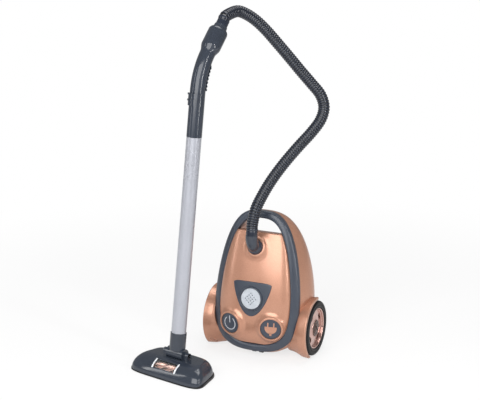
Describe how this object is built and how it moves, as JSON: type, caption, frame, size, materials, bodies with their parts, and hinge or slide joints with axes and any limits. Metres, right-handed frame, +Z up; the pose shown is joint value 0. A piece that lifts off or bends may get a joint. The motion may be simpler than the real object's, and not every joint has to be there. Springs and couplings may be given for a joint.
{
  "type": "toy vacuum cleaner",
  "caption": "Toy canister vacuum cleaner with a carrying arch, push buttons, side wheels, a front caster, a ribbed hose, a straight wand and a tilting floor head.",
  "frame": {"origin": "point on the floor below the middle of the wheel axle", "axes": "+Z up, +X to the right seen from the front, the button panel faces -Y"},
  "size_m": [0.2668, 0.284, 0.5996],
  "materials": {
    "copper_shell": "metallic gloss",
    "slate_plastic": "gloss",
    "slate_satin": "satin",
    "silver_tube": "gloss",
    "pale_disc": "satin",
    "black_plastic": "satin",
    "tyre_black": "satin",
    "hub_metallic": "metallic gloss",
    "cap_brown": "gloss",
    "steel": "drawn",
    "board": "solder mask",
    "cell_wrap": "printed wrap",
    "clear_window": "clear",
    "brush_copper": "metallic gloss"
  },
  "bodies": {
    "canister": {"rear_shell": "copper_shell", "front_panel": "copper_shell", "trim_ring": "slate_plastic", "sound_plate": "slate_plastic", "battery_door": "copper_shell", "battery_box": "black_plastic", "battery_cells": "cell_wrap", "sound_board": "board", "speaker": "black_plastic", "switch_cups": "black_plastic", "shell_screws": "steel", "axle": "steel", "power_spring": "steel", "plug_spring": "steel", "sound_spring": "steel"},
    "left_wheel": {"left_tyre": "tyre_black", "left_hub": "hub_metallic", "left_hub_cap": "cap_brown"},
    "right_wheel": {"right_tyre": "tyre_black", "right_hub": "hub_metallic", "right_hub_cap": "cap_brown"},
    "caster": {"caster_fork": "black_plastic"},
    "caster_wheels": {"caster_rollers": "black_plastic"},
    "power_key": {"power_button": "slate_plastic"},
    "plug_key": {"plug_button": "slate_plastic"},
    "sound_key": {"sound_button": "pale_disc"},
    "hose_and_wand": {"elbow": "slate_satin", "hose": "slate_satin", "hose_cuff": "black_plastic", "handle": "slate_plastic", "finger_grip": "slate_satin", "wand_tube": "silver_tube", "neck": "slate_plastic"},
    "suction_control": {"suction_slider": "slate_plastic"},
    "floor_head": {"head_cover": "slate_plastic", "head_sole": "black_plastic", "head_bumper": "black_plastic", "window": "clear_window", "neck_pin": "steel", "head_screws": "steel"},
    "brush": {"brush_roll": "brush_copper"}
  },
  "joints": [
    {"name": "left_wheel_spin", "type": "hinge", "parent": "canister", "child": "left_wheel", "pos_m": [-0.085, 0, 0.048], "axis": [1, 0, 0], "continuous": true},
    {"name": "right_wheel_spin", "type": "hinge", "parent": "canister", "child": "right_wheel", "pos_m": [0.085, 0, 0.048], "axis": [1, 0, 0], "continuous": true},
    {"name": "caster_swivel", "type": "hinge", "parent": "canister", "child": "caster", "pos_m": [0, -0.0245, 0.03], "axis": [0, 0, 1], "continuous": true},
    {"name": "caster_roll", "type": "hinge", "parent": "caster", "child": "caster_wheels", "pos_m": [0, -0.0305, 0.0085], "axis": [1, 0, 0], "continuous": true},
    {"name": "power_press", "type": "slide", "parent": "canister", "child": "power_key", "axis": [0.2482, 0.968, 0.0366], "range_m": [0, 0.003], "stiffness_N_per_m": 400, "deforming": ["power_spring"]},
    {"name": "plug_press", "type": "slide", "parent": "canister", "child": "plug_key", "axis": [-0.2482, 0.968, 0.0366], "range_m": [0, 0.003], "stiffness_N_per_m": 400, "deforming": ["plug_spring"]},
    {"name": "sound_press", "type": "slide", "parent": "canister", "child": "sound_key", "axis": [0, 0.9877, -0.1563], "range_m": [0, 0.003], "stiffness_N_per_m": 400, "deforming": ["sound_spring"]},
    {"name": "hose_swivel", "type": "hinge", "parent": "canister", "child": "hose_and_wand", "pos_m": [0, -0.03885, 0.19449], "axis": [0, 0.9371, -0.349], "range_deg": [0, 25]},
    {"name": "suction_slide", "type": "slide", "parent": "hose_and_wand", "child": "suction_control", "axis": [-0.0313, -0.1356, -0.9903], "range_m": [0, 0.008]},
    {"name": "head_tilt", "type": "hinge", "parent": "hose_and_wand", "child": "floor_head", "pos_m": [-0.08887, -0.17013, 0.035], "axis": [0.9744, -0.225, 0], "range_deg": [-8, 35]},
    {"name": "brush_spin", "type": "hinge", "parent": "floor_head", "child": "brush", "pos_m": [-0.09382, -0.19156, 0.012], "axis": [0.9744, -0.225, 0], "continuous": true}
  ]
}
